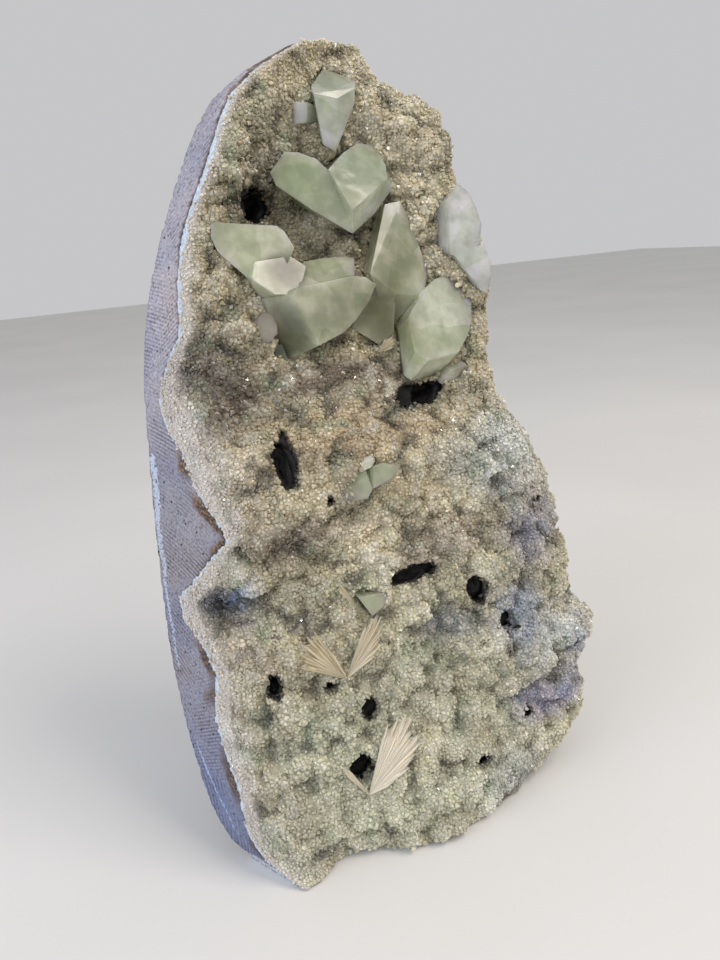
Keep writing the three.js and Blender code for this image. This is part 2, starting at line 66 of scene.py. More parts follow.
# The CAD slab has at least this many corners at each of its levels. How near in mm a corner is to its
# level, and how near to the sawn side's line there it has to be to be on that side.
RING_CORNERS = 50
LEVEL_NEAR = 0.06
SIDE_NEAR = 0.3
# A place this near a cut in mm is on it, where it is turned this far to the left.
SAWN_SNAP = 1.1
LEFTWARD = -0.5
# Rock turned this far forward lies behind the crust and keeps back this far in mm, with a softened edge.
FORWARD = 0.7
HIDDEN_BACK = 1.2
COVER_ROUNDS = 8
COVERED = (0.8, 1.0)
# Rock within this reach of a hole, where 1 is its rim, is this dark: painted shade for the deep holes.
PIT_REACH = 1.8
PIT_SHADE_TONE = 0.03
# The broken rock's roughness grows over this way in from a cut. Its sizes and depths in mm.
EDGE_KEEP = 5.0
BREAKS = ((16, 2.0), (7, 1.1), (3.2, 0.5))
# How far apart the saw's marks are, and the middles of its arcs in metres.
SAW_PITCH = 1.45 * MM
SAW_CENTRES = ((-0.19, 0.02, 0.02), (-0.08, 0.16, 0.38))
# The pale vein of the cut at heights in mm: how far from the rear edge, how wide and how strong.
VEIN_HEIGHTS = (0, 13, 17, 46, 52, 58, 78, 84, 112, 130, 150, 170, 176, 324)
VEIN_FROM_REAR = (10, 10, 10, 4.5, 4, 4, 4, 3.5, 3.0, 2.6, 2.4, 2.2, 2.2, 2)
VEIN_WIDE = (2.4, 2.4, 2.4, 2.4, 2.2, 2.0, 2.2, 3.0, 3.0, 4.6, 6.0, 6.0, 5.6, 4)
VEIN_STRENGTH = (0.0, 0.3, 1.15, 1.15, 0.8, 0.0, 0.0, 1.05, 1.05, 1.1, 1.2, 1.2, 0.0, 0.0)
# How light the cut is at heights in mm, how blue, and what that takes from red, green and blue.
SIDE_HEIGHTS = (0, 16, 40, 79, 131, 154, 201, 232, 268, 324)
SIDE_LIGHT = (0.8, 0.8, 0.82, 0.82, 0.77, 0.82, 1.04, 1.12, 1.02, 1.02)
SIDE_BLUE = (0.75, 0.85, 0.7, 0.35, 0.06, 0.12, 0.12, 0.1, 0.1, 0.1)
BLUE_TAKES = np.array([0.5, 0.36, 0.0])
# How the edges of vein and rust wander, with the height alone and all over: size and reach in mm.
WANDER_ALONG = (9, 1.6)
WANDER_FINE = (3, 0.8)
# The cut is pale up to about this height in mm.
FOOT_PALE_TOP = 10
# Rust along the crust: height of its middle, half height and strength.
RUST = (
    (169, 5, 1.0), (152, 6, 1.0), (141, 10, 1.1), (91, 6, 1.2), (77, 6, 0.7), (43, 12, 1.0), (13, 6, 0.7),
)
# How far it reaches over the cut in mm, and its greatest strength.
RUST_REACH = 6.0
MOST_RUST = 1.2
# Open holes through the crust: across, up, half width and half height.
HOLES = (
    (24, 169, 3.2, 10.5), (36, 154, 2.2, 2.6), (69, 114, 11.5, 4), (99, 100, 4.6, 6.2), (112, 83, 4, 4.4),
    (4, 84, 3.2, 5.6), (27, 79, 4, 2.6), (41, 66, 4.2, 4.6), (33, 44, 5.6, 5.6), (88, 28, 4.4, 3.4),
    (84, 185, 12, 4.6), (139, 130, 2, 2.2), (118, 36, 3, 2.4), (36, 264, 8, 7),
)
# How ragged the rims are: size in mm, and reach as a share of the hole.
HOLE_RAGGED = (4.5, 0.3)
# The factors that mix a lattice cell's three whole numbers into one.
CELL_KEY = np.array([73856093, 19349663, 83492791])


def colour(hex_text):
    """An sRGB hex value as linear red, green, blue and an alpha of 1: the sRGB curve undone by channel."""
    channels = np.array([int(hex_text[i : i + 2], 16) for i in (1, 3, 5)]) / 255
    linear = np.where(channels <= 0.04045, channels / 12.92, ((channels + 0.055) / 1.055) ** 2.4)
    return (*linear, 1.0)


def add_node(tree, kind, inputs=None, stops=None, output=0, **settings):
    """Adds one shader node and gives the output asked for. inputs gives a socket a value, or an output to
    link from; stops are the places and hex colours of a ramp."""
    made = tree.nodes.new(kind)
    for name, value in settings.items():
        setattr(made, name, value)
    for name, value in (inputs or {}).items():
        if isinstance(value, bpy.types.NodeSocket):
            tree.links.new(value, made.inputs[name])
        else:
            made.inputs[name].default_value = value
    if stops:
        ramp = made.color_ramp
        while len(ramp.elements) < len(stops):
            ramp.elements.new(0.5)
        for element, (place, hex_text) in zip(ramp.elements, stops):
            element.position = place
            element.color = colour(hex_text)
    return made.outputs[output]


def new_material(name):
    """An empty node material with its output node."""
    made = bpy.data.materials.new(name)
    made.use_nodes = True
    made.node_tree.nodes.clear()
    return made, made.node_tree, made.node_tree.nodes.new("ShaderNodeOutputMaterial")


def specimen_place(points):
    """Points as across, up and depth in mm: x and z from the front left foot, and how far behind the
    leaning front plane, which is y less z times the tangent of the lean."""
    local = (points - FRONT_FOOT) / MM
    return local[:, 0], local[:, 2], local[:, 1] - local[:, 2] * LEAN


def at_place(across, up, depth):
    """The row-frame point of across, up and depth in mm."""
    return FRONT_FOOT + np.stack([across, depth + up * LEAN, up], axis=-1) * MM


def cell_value(cell, seed):
    """A repeatable number from 0 to 1 for each whole-number cell: two products mix the bits of its key."""
    key = cell @ CELL_KEY + seed * 2654435761
    key = ((key ^ (key >> 13)) * 1274126177) & 0xFFFFFFFF
    return ((key ^ (key >> 16)) & 0xFFFF) / 0xFFFF


def noise(points, size, seed):
    """Smooth noise from -1 to 1: random values on a cubic lattice of the given size, blended along each
    axis by the smooth step."""
    cell = np.floor(points / size).astype(np.int64)
    part = points / size - cell
    ease = part * part * (3 - 2 * part)
    total = np.zeros(len(points))
    for corner in np.ndindex(2, 2, 2):
        value = cell_value(cell + corner, seed) * 2 - 1
        total += value * np.where(corner, ease, 1 - ease).prod(axis=1)
    return total


def smooth_step(values, low, high):
    """0 below low, 1 above high, and the smooth step between."""
    part = np.clip((values - low) / (high - low), 0, 1)
    return part * part * (3 - 2 * part)


def in_holes(points):
    """How near each point is to the middle of a hole: 0 at its middle, about 1 on its ragged rim."""
    across, up, _ = specimen_place(points)
    spread = [((across - x) / wide) ** 2 + ((up - z) / tall) ** 2 for x, z, wide, tall in HOLES]
    return np.sqrt(np.min(spread, axis=0)) + HOLE_RAGGED[1] * noise(points / MM, HOLE_RAGGED[0], 48)


def node_points(node):
    """The vertices of a CAD node as an array."""
    points = np.empty(len(node.data.vertices) * 3)
    node.data.vertices.foreach_get("co", points)
    return points.reshape(-1, 3)


def welded_copy(node, name):
    """A copy of a CAD node's mesh with its loose triangles merged, as an object of its own."""
    mesh = node.data.copy()
    shape = bmesh.new()
    shape.from_mesh(mesh)
    bmesh.ops.remove_doubles(shape, verts=shape.verts, dist=1e-6)
    shape.to_mesh(mesh)
    shape.free()
    mesh.materials.clear()
    made = bpy.data.objects.new(name, mesh)
    bpy.context.scene.collection.objects.link(made)
    return made


def resampled(node, side):
    """The surface of a CAD node as even squares of the given side: its points and its quads."""
    copy = welded_copy(node, "resampled")
    cubes = copy.modifiers.new("cubes", "REMESH")
    cubes.mode = "VOXEL"
    cubes.voxel_size = side
    shape = copy.evaluated_get(bpy.context.evaluated_depsgraph_get()).data
    points = np.empty(len(shape.vertices) * 3)
    shape.vertices.foreach_get("co", points)
    quads = np.empty(len(shape.loops), int)
    shape.loops.foreach_get("vertex_index", quads)
    bpy.data.objects.remove(copy)
    return points.reshape(-1, 3), quads.reshape(-1, 4)


def smoothed(points, quads, rounds):
    """Each round moves every point half-way to the mean of its neighbours along the quads' sides."""
    start = np.concatenate([quads.ravel(), np.roll(quads, 1, axis=1).ravel()])
    end = np.concatenate([np.roll(quads, 1, axis=1).ravel(), quads.ravel()])
    count = np.bincount(start, minlength=len(points))[:, None]
    for _ in range(rounds):
        sums = [np.bincount(start, points[end, axis], len(points)) for axis in range(3)]
        points = (points + np.stack(sums, axis=1) / count) / 2
    return points


def outward(points, quads):
    """The unit normal of each point: the summed cross products of the diagonals of the quads round it."""
    diagonals = points[quads[:, 2]] - points[quads[:, 0]], points[quads[:, 3]] - points[quads[:, 1]]
    cross = np.repeat(np.cross(*diagonals), 4, axis=0)
    total = np.stack([np.bincount(quads.ravel(), cross[:, axis], len(points)) for axis in range(3)], axis=1)
    return total / np.maximum(np.linalg.norm(total, axis=1, keepdims=True), 1e-12)


def toward(tint, hex_text, share):
    """Linear colours moved towards a hex colour by a share from 0 to 1 for each point."""
    return tint + (np.array(colour(hex_text)[:3]) - tint) * share[:, None]


def add_attribute(mesh, name, values):
    """Gives each point of a mesh a number, or a linear colour with an alpha of 1."""
    if values.ndim == 1:
        mesh.attributes.new(name, "FLOAT", "POINT").data.foreach_set("value", values)
    else:
        rgba = np.concatenate([values, np.ones((len(values), 1))], axis=1)
        mesh.attributes.new(name, "FLOAT_COLOR", "POINT").data.foreach_set("color", rgba.ravel())


def mesh_piece(name, points, faces, material, slot, smooth, **attributes):
    """A mesh object of the points and the faces, which have equally many corners, riding on the root body
    and with the attributes given by name."""
    mesh = bpy.data.meshes.new(name)
    mesh.vertices.add(len(points))
    mesh.vertices.foreach_set("co", points.ravel())
    mesh.loops.add(faces.size)
    mesh.loops.foreach_set("vertex_index", faces.ravel())
    mesh.polygons.add(len(faces))
    mesh.polygons.foreach_set("loop_start", np.arange(0, faces.size, faces.shape[1]))
    mesh.update(calc_edges=True)
    mesh.polygons.foreach_set("use_smooth", np.full(len(faces), smooth))
    for key, values in attributes.items():
        add_attribute(mesh, key, values)
    mesh.materials.append(material)
    made = bpy.data.objects.new(name, mesh)
    bpy.context.scene.collection.objects.link(made)
    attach(made, "root")
    return made


rock_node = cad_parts["basalt_matrix"]
rock_across, rock_up, rock_depth = specimen_place(node_points(rock_node))
cut_line = rock_across + rock_depth * np.tan(FLARE)
levels, corners = np.unique(np.round(rock_up, 1), return_counts=True)
levels = levels[corners >= RING_CORNERS]
ring_rows = [np.abs(rock_up - level) < LEVEL_NEAR for level in levels]
side_line = np.array([cut_line[row].min() for row in ring_rows])
side_rows = [row & (cut_line < line + SIDE_NEAR) for row, line in zip(ring_rows, side_line)]
side_front = np.array([rock_depth[row].min() for row in side_rows])
side_rear = np.array([rock_depth[row].max() for row in side_rows])


def inside_cut(across, up, depth):
    """How far in mm a place lies inside the plane of the sawn side."""
    return (across + depth * np.tan(FLARE) - np.interp(up, levels, side_line)) * np.cos(FLARE)


rock, rock_quads = resampled(rock_node, ROCK_GRID)
rock = smoothed(rock, rock_quads, 1)
facing = outward(rock, rock_quads)
across, up, depth = specimen_place(rock)
inside = inside_cut(across, up, depth)
behind_crust = (-facing[:, 1] > FORWARD) & (inside > SAWN_SNAP)
free = smooth_step(inside, 1, 1 + EDGE_KEEP) * smooth_step(up, 1, 1 + EDGE_KEEP) * ~behind_crust
rough = sum(noise(rock / MM, size, 11 + i) * deep for i, (size, deep) in enumerate(BREAKS))
covered = np.repeat(behind_crust[:, None], 3, axis=1).astype(float)
covered = smooth_step(smoothed(covered, rock_quads, COVER_ROUNDS)[:, 0], *COVERED)
in_shaded_pit = (in_holes(rock) < PIT_REACH) & (facing[:, 1] < 0.5) & (inside > 3)
rough = rough * free - HIDDEN_BACK * covered
rock = rock + facing * (rough * MM)[:, None]
sawn = (inside < SAWN_SNAP) & (facing[:, 0] < LEFTWARD)
cut_outward = np.array([-np.cos(FLARE), -np.sin(FLARE), 0])
rock[sawn] += cut_outward * (inside[sawn] * MM)[:, None]
rock[rock[:, 2] < SAWN_SNAP * MM, 2] = 0

from_crust = depth - np.interp(up, levels, side_front)
from_rear = np.interp(up, levels, side_rear) - depth
wander = noise(np.stack([up, up, up], axis=1), WANDER_ALONG[0], 3) * WANDER_ALONG[1]
wander = wander + noise(rock / MM, WANDER_FINE[0], 4) * WANDER_FINE[1]
stained = sum(np.exp(-(((up - centre) / tall) ** 2)) * deep for centre, tall, deep in RUST)
stain = np.clip(stained, 0, MOST_RUST) * smooth_step(-from_crust + wander * 1.5, -RUST_REACH, 0)
on_cut_face = facing[:, 0] < LEFTWARD
from_vein = from_rear - np.interp(up, VEIN_HEIGHTS, VEIN_FROM_REAR) - wander * 0.4
vein = np.exp(-((from_vein / (np.interp(up, VEIN_HEIGHTS, VEIN_WIDE) / 2)) ** 2))
vein = vein * np.interp(up, VEIN_HEIGHTS, VEIN_STRENGTH) * on_cut_face
foot_patch = smooth_step(FOOT_PALE_TOP + 3 * wander - up, 0, 5) * on_cut_face
vein = np.maximum(vein, foot_patch)
cut_tint = np.ones((len(rock), 3)) * np.interp(up, SIDE_HEIGHTS, SIDE_LIGHT)[:, None]
cut_tint *= 1 - np.interp(up, SIDE_HEIGHTS, SIDE_BLUE)[:, None] * BLUE_TAKES
cut_tint = cut_tint + (1 - cut_tint) * foot_patch[:, None]
# Painted shade: the rock seen through the crust's holes is made nearly black.
cut_tint[in_shaded_pit] = PIT_SHADE_TONE

# Sawn and broken basalt: matt, with fine dark and light grains, arcs left by the saw, small gas bubbles as
# dark pits (painted shade), a pale chalcedony vein near the rear edge of the cut, and rust where water has
# run along the crust. The broken rock is darker and brown, with pale green specks of filled bubbles.
basalt_material, tree, output = new_material("sawn_basalt")
place = add_node(tree, "ShaderNodeTexCoord", output="Object")
grain = add_node(tree, "ShaderNodeTexNoise", {"Vector": place, "Scale": 1 / (1.1 * MM), "Detail": 3.0})
patches = add_node(tree, "ShaderNodeTexNoise", {"Vector": place, "Scale": 1 / (26 * MM), "Detail": 3.0})
sawn_mark = add_node(tree, "ShaderNodeAttribute", output="Fac", attribute_name="sawn")
rust_mark = add_node(tree, "ShaderNodeAttribute", output="Fac", attribute_name="stain")
vein_value = add_node(tree, "ShaderNodeAttribute", output="Fac", attribute_name="vein")
side_tint = add_node(tree, "ShaderNodeAttribute", output="Color", attribute_name="tint")
grain_stops = ((0.3, "#7f7a80"), (0.42, "#b3b0b4"), (0.58, "#c4c2c4"), (0.75, "#dcdad9"))
sawn_grain = add_node(tree, "ShaderNodeValToRGB", {"Fac": grain}, grain_stops)
tone_stops = ((0.35, "#cfcfda"), (0.52, "#e2dee0"), (0.68, "#e6dcd8"))
sawn_tone = add_node(tree, "ShaderNodeValToRGB", {"Fac": patches}, tone_stops)
vein_grain = add_node(tree, "ShaderNodeMath", {0: vein_value, 1: grain}, operation="MULTIPLY")
vein_stops = ((0.36, "#000000"), (0.52, "#e0e0e0"))
vein_mark = add_node(tree, "ShaderNodeValToRGB", {"Fac": vein_grain}, vein_stops)
rust_grain = add_node(tree, "ShaderNodeMath", {0: rust_mark, 1: grain}, operation="MULTIPLY")
edge_stops = ((0.1, "#000000"), (0.38, "#f4f4f4"))
rust_edge = add_node(tree, "ShaderNodeValToRGB", {"Fac": rust_grain}, edge_stops)
rust_stops = ((0.4, "#241a18"), (0.52, "#6b4f36"), (0.68, "#b08a58"))
rust = add_node(tree, "ShaderNodeValToRGB", {"Fac": grain}, rust_stops)
coarse = add_node(tree, "ShaderNodeTexNoise", {"Vector": place, "Scale": 1 / (5 * MM), "Detail": 6.0})
broken_stops = ((0.35, "#4a3f3a"), (0.5, "#6b5c53"), (0.68, "#86766a"))
broken = add_node(tree, "ShaderNodeValToRGB", {"Fac": coarse}, broken_stops)
bubbles = add_node(
    tree, "ShaderNodeTexVoronoi", {"Vector": place, "Scale": 1 / (5.5 * MM)}, output="Distance"
)
speck_stops = ((0.12, "#ffffff"), (0.17, "#000000"))
speck_mark = add_node(tree, "ShaderNodeValToRGB", {"Fac": bubbles}, speck_stops)
bubble_stops = ((0.08, "#ffffff"), (0.12, "#000000"))
bubble_mark = add_node(tree, "ShaderNodeValToRGB", {"Fac": bubbles}, bubble_stops)
# The wave texture's rings are 20 radians of its sine in each unit.
arcs = []
for centre in SAW_CENTRES:
    moved = add_node(tree, "ShaderNodeMapping", {"Vector": place, "Location": [-value for value in centre]})
    rings = {
        "Vector": moved, "Scale": 2 * np.pi / (20 * SAW_PITCH), "Distortion": 1.6, "Detail Scale": 0.05,
    }
    arcs.append(add_node(tree, "ShaderNodeTexWave", rings, wave_type="RINGS", rings_direction="SPHERICAL"))
wide = add_node(tree, "ShaderNodeTexNoise", {"Vector": place, "Scale": 1 / (60 * MM), "Detail": 0.0})
arc_share = add_node(tree, "ShaderNodeValToRGB", {"Fac": wide}, ((0.46, "#000000"), (0.54, "#ffffff")))
grooves = add_node(tree, "ShaderNodeMixRGB", {"Fac": arc_share, "Color1": arcs[0], "Color2": arcs[1]})
groove_tone = add_node(tree, "ShaderNodeValToRGB", {"Fac": grooves}, ((0.1, "#a39ca3"), (0.55, "#ffffff")))
scoured = add_node(tree, "ShaderNodeTexNoise", {"Vector": place, "Scale": 1 / (17 * MM), "Detail": 4.0})
groove_share = add_node(tree, "ShaderNodeValToRGB", {"Fac": scoured}, ((0.4, "#303030"), (0.62, "#e8e8e8")))
worn = add_node(
    tree, "ShaderNodeMixRGB", {"Fac": groove_share, "Color1": (1, 1, 1, 1), "Color2": groove_tone}
)
cut_colour = add_node(
    tree, "ShaderNodeMixRGB", {"Fac": 1.0, "Color1": sawn_grain, "Color2": sawn_tone}, blend_type="MULTIPLY"
)
cut_colour = add_node(
    tree, "ShaderNodeMixRGB", {"Fac": 1.0, "Color1": cut_colour, "Color2": worn}, blend_type="MULTIPLY"
)
# Painted shade: the gas bubbles on the cut are dark pits in colour only.
bubble_shade = colour("#3b323b")
cut_colour = add_node(
    tree, "ShaderNodeMixRGB", {"Fac": bubble_mark, "Color1": cut_colour, "Color2": bubble_shade}
)
cut_colour = add_node(tree, "ShaderNodeMixRGB", {"Fac": rust_edge, "Color1": cut_colour, "Color2": rust})
cut_colour = add_node(
    tree, "ShaderNodeMixRGB", {"Fac": vein_mark, "Color1": cut_colour, "Color2": colour("#dbe6f2")}
)
broken_colour = add_node(
    tree, "ShaderNodeMixRGB", {"Fac": speck_mark, "Color1": broken, "Color2": colour("#a9ae9c")}
)
rock_colour = add_node(
    tree, "ShaderNodeMixRGB", {"Fac": sawn_mark, "Color1": broken_colour, "Color2": cut_colour}
)
rock_colour = add_node(
    tree, "ShaderNodeMixRGB", {"Fac": 1.0, "Color1": rock_colour, "Color2": side_tint},
    blend_type="MULTIPLY",
)
heights = add_node(tree, "ShaderNodeMixRGB", {"Fac": 0.35, "Color1": grooves, "Color2": grain})
saw_bump = add_node(tree, "ShaderNodeBump", {"Height": heights, "Strength": 0.5, "Distance": 0.4 * MM})
pits = add_node(tree, "ShaderNodeTexNoise", {"Vector": place, "Scale": 1 / (2.4 * MM), "Detail": 8.0})
rock_bump = add_node(tree, "ShaderNodeBump", {"Height": pits, "Strength": 0.9, "Distance": 0.9 * MM})
turned = add_node(tree, "ShaderNodeMixRGB", {"Fac": sawn_mark, "Color1": rock_bump, "Color2": saw_bump})
skin = add_node(tree, "ShaderNodeBsdfPrincipled", {
    "Base Color": rock_colour, "Roughness": 0.62, "Normal": turned, "Specular IOR Level": 0.4,
})
tree.links.new(skin, output.inputs["Surface"])

slab = mesh_piece(
    "basalt_slab", rock, rock_quads, basalt_material, "basalt", True,
    sawn=(sawn | (rock[:, 2] < 0.1 * MM)).astype(float), stain=stain, vein=vein, tint=cut_tint,
)
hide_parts("basalt_matrix")

# Quartz crust
# The lining of the vug: a layer of chalcedony 5 mm thick that follows the rock's hollows and swellings. Its
# surface is knobbly like a cauliflower and carries the quartz points, over the sawn edge too.
CRUST_GRID = 1.25 * MM
# The knobs: how far apart and how high, how they are bent out of line, and over what size they grow bolder.
KNOBS = ((11.5, 4.2), (5.4, 2.5))
KNOB_REACH = 0.72
KNOB_BENT = (9, 3)
BOLD_SIZE = 34
# Wide lumps under the knobs: size and height in mm.
WALL_LUMPS = (23, 2.2)
# How far the crust sinks at the holes, and at most anywhere. Where that starts and ends, as 1 is the rim.
HOLE_SINK = 2.5
DEEPEST = -2.2
HOLE_SLOPE = (0.7, 1.1)
# How much the coarse and the fine knobs count where the painted highlight and shade follow the crests.
CREST_SHARES = (0.6, 0.5)
# The crust's cut edge: how wide its bare band is along the rock, and the size and reach of the ragged line.
BARE_BAND = 3.0
BAND_RAGGED = (4, 1.2)
DRUSE_BASE = "#c5b898"
# Parts of the druse with a colour of their own, and painted shade in its hollows and under the crystals:
# across, up, half width, half height, colour and strength.
DRUSE_ZONES = (
    (75, 45, 110, 75, "#d0d1ba", 0.6),  # the lower half, cooler than the upper
    (128, 150, 22, 26, "#d2dadb", 0.7),
    (50, 176, 40, 11, "#c0a886", 0.7),  # the lit swelling below the bowl
    # The bowl is darker partly in its own grey and partly as painted shade; its dark upper left corner is
    # painted shade.
    (60, 262, 44, 46, "#a8a18b", 0.75),  # the bowl
    (34, 266, 16, 19, "#5d574b", 0.9),  # its dark upper left corner
    (105, 282, 24, 30, "#c9c0a5", 0.7),  # the wall right of the bowl
    # Painted shade in the two hollows on the sawn edge.
    (4, 204, 20, 16, "#5c5147", 0.9),  # the hollow on the sawn edge
    (8, 189, 15, 8, "#5a473a", 0.85),
    (48, 197, 34, 6, "#7d6e61", 0.9),  # the shade under the crystals
    (-8, 178, 5, 12, "#f2e8da", 0.9),  # the pale ridge below the hollow
    (2, 164, 12, 20, "#dccdb4", 0.6),
    # The blue hollow: its bluish tone is the crust's own, its near-black is painted shade.
    (-10, 113, 14, 9, "#1c2234", 1.0),  # the blue hollow
    (1, 118, 6, 8, "#8197ba", 0.85),
    (-20, 114, 4, 9, "#cdd8e6", 0.9),
    (-8, 166, 4, 8, "#e4e6ea", 0.7),
    (-16, 60, 4, 12, "#d6e0e4", 0.8),
    (-6, 96, 12, 6, "#e2cebb", 0.6),
    (3, 106, 9, 6, "#9a948e", 0.7),
    (24, 141, 26, 9, "#8d8072", 0.8),
    (88, 124, 24, 10, "#978b7d", 0.8),
    (131, 119, 14, 18, "#9292a2", 0.85),
    # Painted shade in a hollow of the crust.
    (82, 88, 16, 8, "#666c74", 0.85),
    (118, 84, 16, 12, "#97a1b8", 0.8),
    (128, 42, 17, 10, "#787eae", 0.9),
    (151, 50, 12, 16, "#7f7c88", 0.85),
    (100, 14, 20, 12, "#d0d4d6", 0.7),
    (140, 66, 24, 18, "#c2ccd6", 0.6),
    (108, 158, 24, 12, "#d6dad0", 0.7),
    (49, 138, 12, 7, "#dccdb2", 0.7),
    (24, 48, 30, 26, "#c2c5a8", 0.55),
    (60, 18, 40, 14, "#d6d6b8", 0.75),  # the foot
    (0, 7, 18, 9, "#e2e0cc", 0.75),
    # Painted shade on the shelf under the crystals.
    (82, 186, 18, 7, "#3f382f", 0.95),  # the shelf under the crystals
)
# How ragged the zones' edges are as a share of a zone, and over what size in mm.
ZONE_RAGGED = 0.35
ZONE_WARP = 11
# Soft patches over all the druse: size in mm and how much darker or lighter. The noise is mostly weak, so
# its gain brings it near 1.
PATCHES = ((14, 0.16), (6.5, 0.18))
PATCH_GAIN = 1.6
# The painted highlight on the knobs' crests and the painted shade in the gaps between them, and the colours
# of dusts with their size in mm, each with its strength.
CREST_HIGHLIGHT, CREST_HIGHLIGHT_STRENGTH = "#e9e1cd", 0.4
RECESS_SHADE, RECESS_SHADE_STRENGTH = "#56544a", 0.8
GREEN_DUST = (9, "#8b9c80", 0.5)
WARM_DUST = (13, "#cbb896", 0.3)
# The pale rim along the cut, how far in mm it reaches, and the bare band beside the rock.
RIM_PALE, RIM_STRENGTH = "#ebe1d4", 0.75
RIM_FADE = 1.4
CUT_BAND = "#dbe8f4"
# The crust between the points is darker than they are, and the holes are painted nearly black, as painted
# shade.
BETWEEN_POINTS = 0.8
HOLE_SHADE_TONE = 0.015
HOLE_RIM = (0.85, 1.1)


def knobs(points, size, seed):
    """How high a place stands on the nearest knob. One knob centre lies at random in each cell of a cubic
    lattice; the height falls from 1 with the square of the distance, to 0 at KNOB_REACH times the size."""
    cell = np.floor(points / size).astype(np.int64)
    nearest = np.full(len(points), np.inf)
    for step in np.ndindex(3, 3, 3):
        other = cell + np.array(step) - 1
        place = [other[:, axis] + 0.1 + 0.8 * cell_value(other, seed + axis) for axis in range(3)]
        nearest = np.minimum(nearest, ((points / size - np.stack(place, axis=1)) ** 2).sum(axis=1))
    return np.maximum(1 - nearest / KNOB_REACH**2, -0.5)


def druse_colour(points, crest):
    """The druse's linear colour: the base colour moved towards each zone's colour by a bell curve round its
    middle, towards the dusts' colours where their noise is high, towards a painted shade where the crest,
    from 0 to 1, is low and a painted highlight where it is high, and nearly black inside the holes as
    painted shade."""
    across, up, depth = specimen_place(points)
    tint = np.tile(colour(DRUSE_BASE)[:3], (len(points), 1))
    warp = noise(points / MM, ZONE_WARP, 21), noise(points / MM, ZONE_WARP, 22)
    for middle, height, wide, tall, zone_colour, strength in DRUSE_ZONES:
        aside = (across - middle) / wide + ZONE_RAGGED * warp[0]
        above = (up - height) / tall + ZONE_RAGGED * warp[1]
        tint = toward(tint, zone_colour, strength * np.exp(-((aside**2 + above**2) ** 1.5)))
    for seed, (size, dust_colour, strength) in enumerate((GREEN_DUST, WARM_DUST)):
        value = noise(points / MM, size, seed + 30) + 0.5 * noise(points / MM, size / 2.7, seed + 40)
        tint = toward(tint, dust_colour, strength * smooth_step(value, 0.2, 0.9))
    # Painted shade in the gaps between the knobs and painted highlight on their crests.
    tint = toward(tint, RECESS_SHADE, RECESS_SHADE_STRENGTH * (1 - smooth_step(crest, -0.1, 0.55)))
    tint = toward(tint, CREST_HIGHLIGHT, CREST_HIGHLIGHT_STRENGTH * smooth_step(crest, 0.55, 1.0))
    for seed, (size, strength) in enumerate(PATCHES):
        tint = tint * (1 + strength * noise(points / MM, size, seed + 45) * PATCH_GAIN)[:, None]
    edge = np.exp(-((inside_cut(across, up, depth) / RIM_FADE) ** 2))
    tint = toward(tint, RIM_PALE, RIM_STRENGTH * edge)
    # Painted shade: the crust inside the holes is made nearly black.
    return tint * (HOLE_SHADE_TONE + (1 - HOLE_SHADE_TONE) * smooth_step(in_holes(points), *HOLE_RIM))[:, None]


def before_rock(points, up, depth):
    """How far in mm each place on the cut is in front of the rock's edge, made ragged by noise."""
    size, reach = BAND_RAGGED
    return np.interp(up, levels, side_front) - depth + reach * noise(points / MM, size, 66)


crust, crust_quads = resampled(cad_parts["quartz_druse"], CRUST_GRID)
crust = smoothed(crust, crust_quads, 1)
facing = outward(crust, crust_quads)
across, up, depth = specimen_place(crust)
inside = inside_cut(across, up, depth)
front = smooth_step(-facing[:, 1], -0.1, 0.3)
free = smooth_step(inside, 0.3, 4) * smooth_step(up, 1, 4) * front
bends = [noise(crust / MM, KNOB_BENT[0], seed) for seed in (61, 62, 63)]
bent = crust / MM + np.stack(bends, axis=1) * KNOB_BENT[1]
heights = [knobs(bent, size, 51 + 3 * i) for i, (size, _) in enumerate(KNOBS)]
bold = 0.5 + 0.5 * smooth_step(noise(crust / MM, BOLD_SIZE, 64), -0.5, 0.5)
raised = bold * sum((height - height.mean()) * rise for height, (_, rise) in zip(heights, KNOBS))
crest = sum(share * height for share, height in zip(CREST_SHARES, heights))
raised = raised + noise(crust / MM, WALL_LUMPS[0], 60) * WALL_LUMPS[1]
raised = raised - HOLE_SINK * (1 - smooth_step(in_holes(crust), *HOLE_SLOPE))
raised = np.maximum(raised, DEEPEST)
crust = crust + facing * (raised * free * MM)[:, None]
cut = (inside < SAWN_SNAP) & (facing[:, 0] < LEFTWARD)
crust[cut] += cut_outward * (inside[cut] * MM)[:, None]
crust_tint = druse_colour(crust, crest) * BETWEEN_POINTS
band_share = smooth_step(-before_rock(crust, up, depth), -BARE_BAND - 0.8, -BARE_BAND + 0.6)
banded = toward(toward(crust_tint, RIM_PALE, cut * 0.3), CUT_BAND, band_share)
crust_tint[cut] = banded[cut]

# Chalcedony under quartz points: a waxy stone. Cut and unpolished, it is pale blue-grey.
chalcedony, tree, output = new_material("chalcedony_crust")
place = add_node(tree, "ShaderNodeTexCoord", output="Object")
sugar = add_node(tree, "ShaderNodeTexNoise", {"Vector": place, "Scale": 1 / (1.0 * MM), "Detail": 4.0})
sugar_tone = add_node(tree, "ShaderNodeValToRGB", {"Fac": sugar}, ((0.3, "#c4c4c4"), (0.7, "#ffffff")))
crust_mark = add_node(tree, "ShaderNodeAttribute", output="Color", attribute_name="tint")
crust_skin = add_node(
    tree, "ShaderNodeMixRGB", {"Fac": 1.0, "Color1": crust_mark, "Color2": sugar_tone},
    blend_type="MULTIPLY",
)
crust_bump = add_node(tree, "ShaderNodeBump", {"Height": sugar, "Strength": 0.7, "Distance": 0.6 * MM})
skin = add_node(tree, "ShaderNodeBsdfPrincipled", {
    "Base Color": crust_skin, "Roughness": 0.6, "IOR": 1.54, "Specular IOR Level": 0.25,
    "Normal": crust_bump,
})
tree.links.new(skin, output.inputs["Surface"])

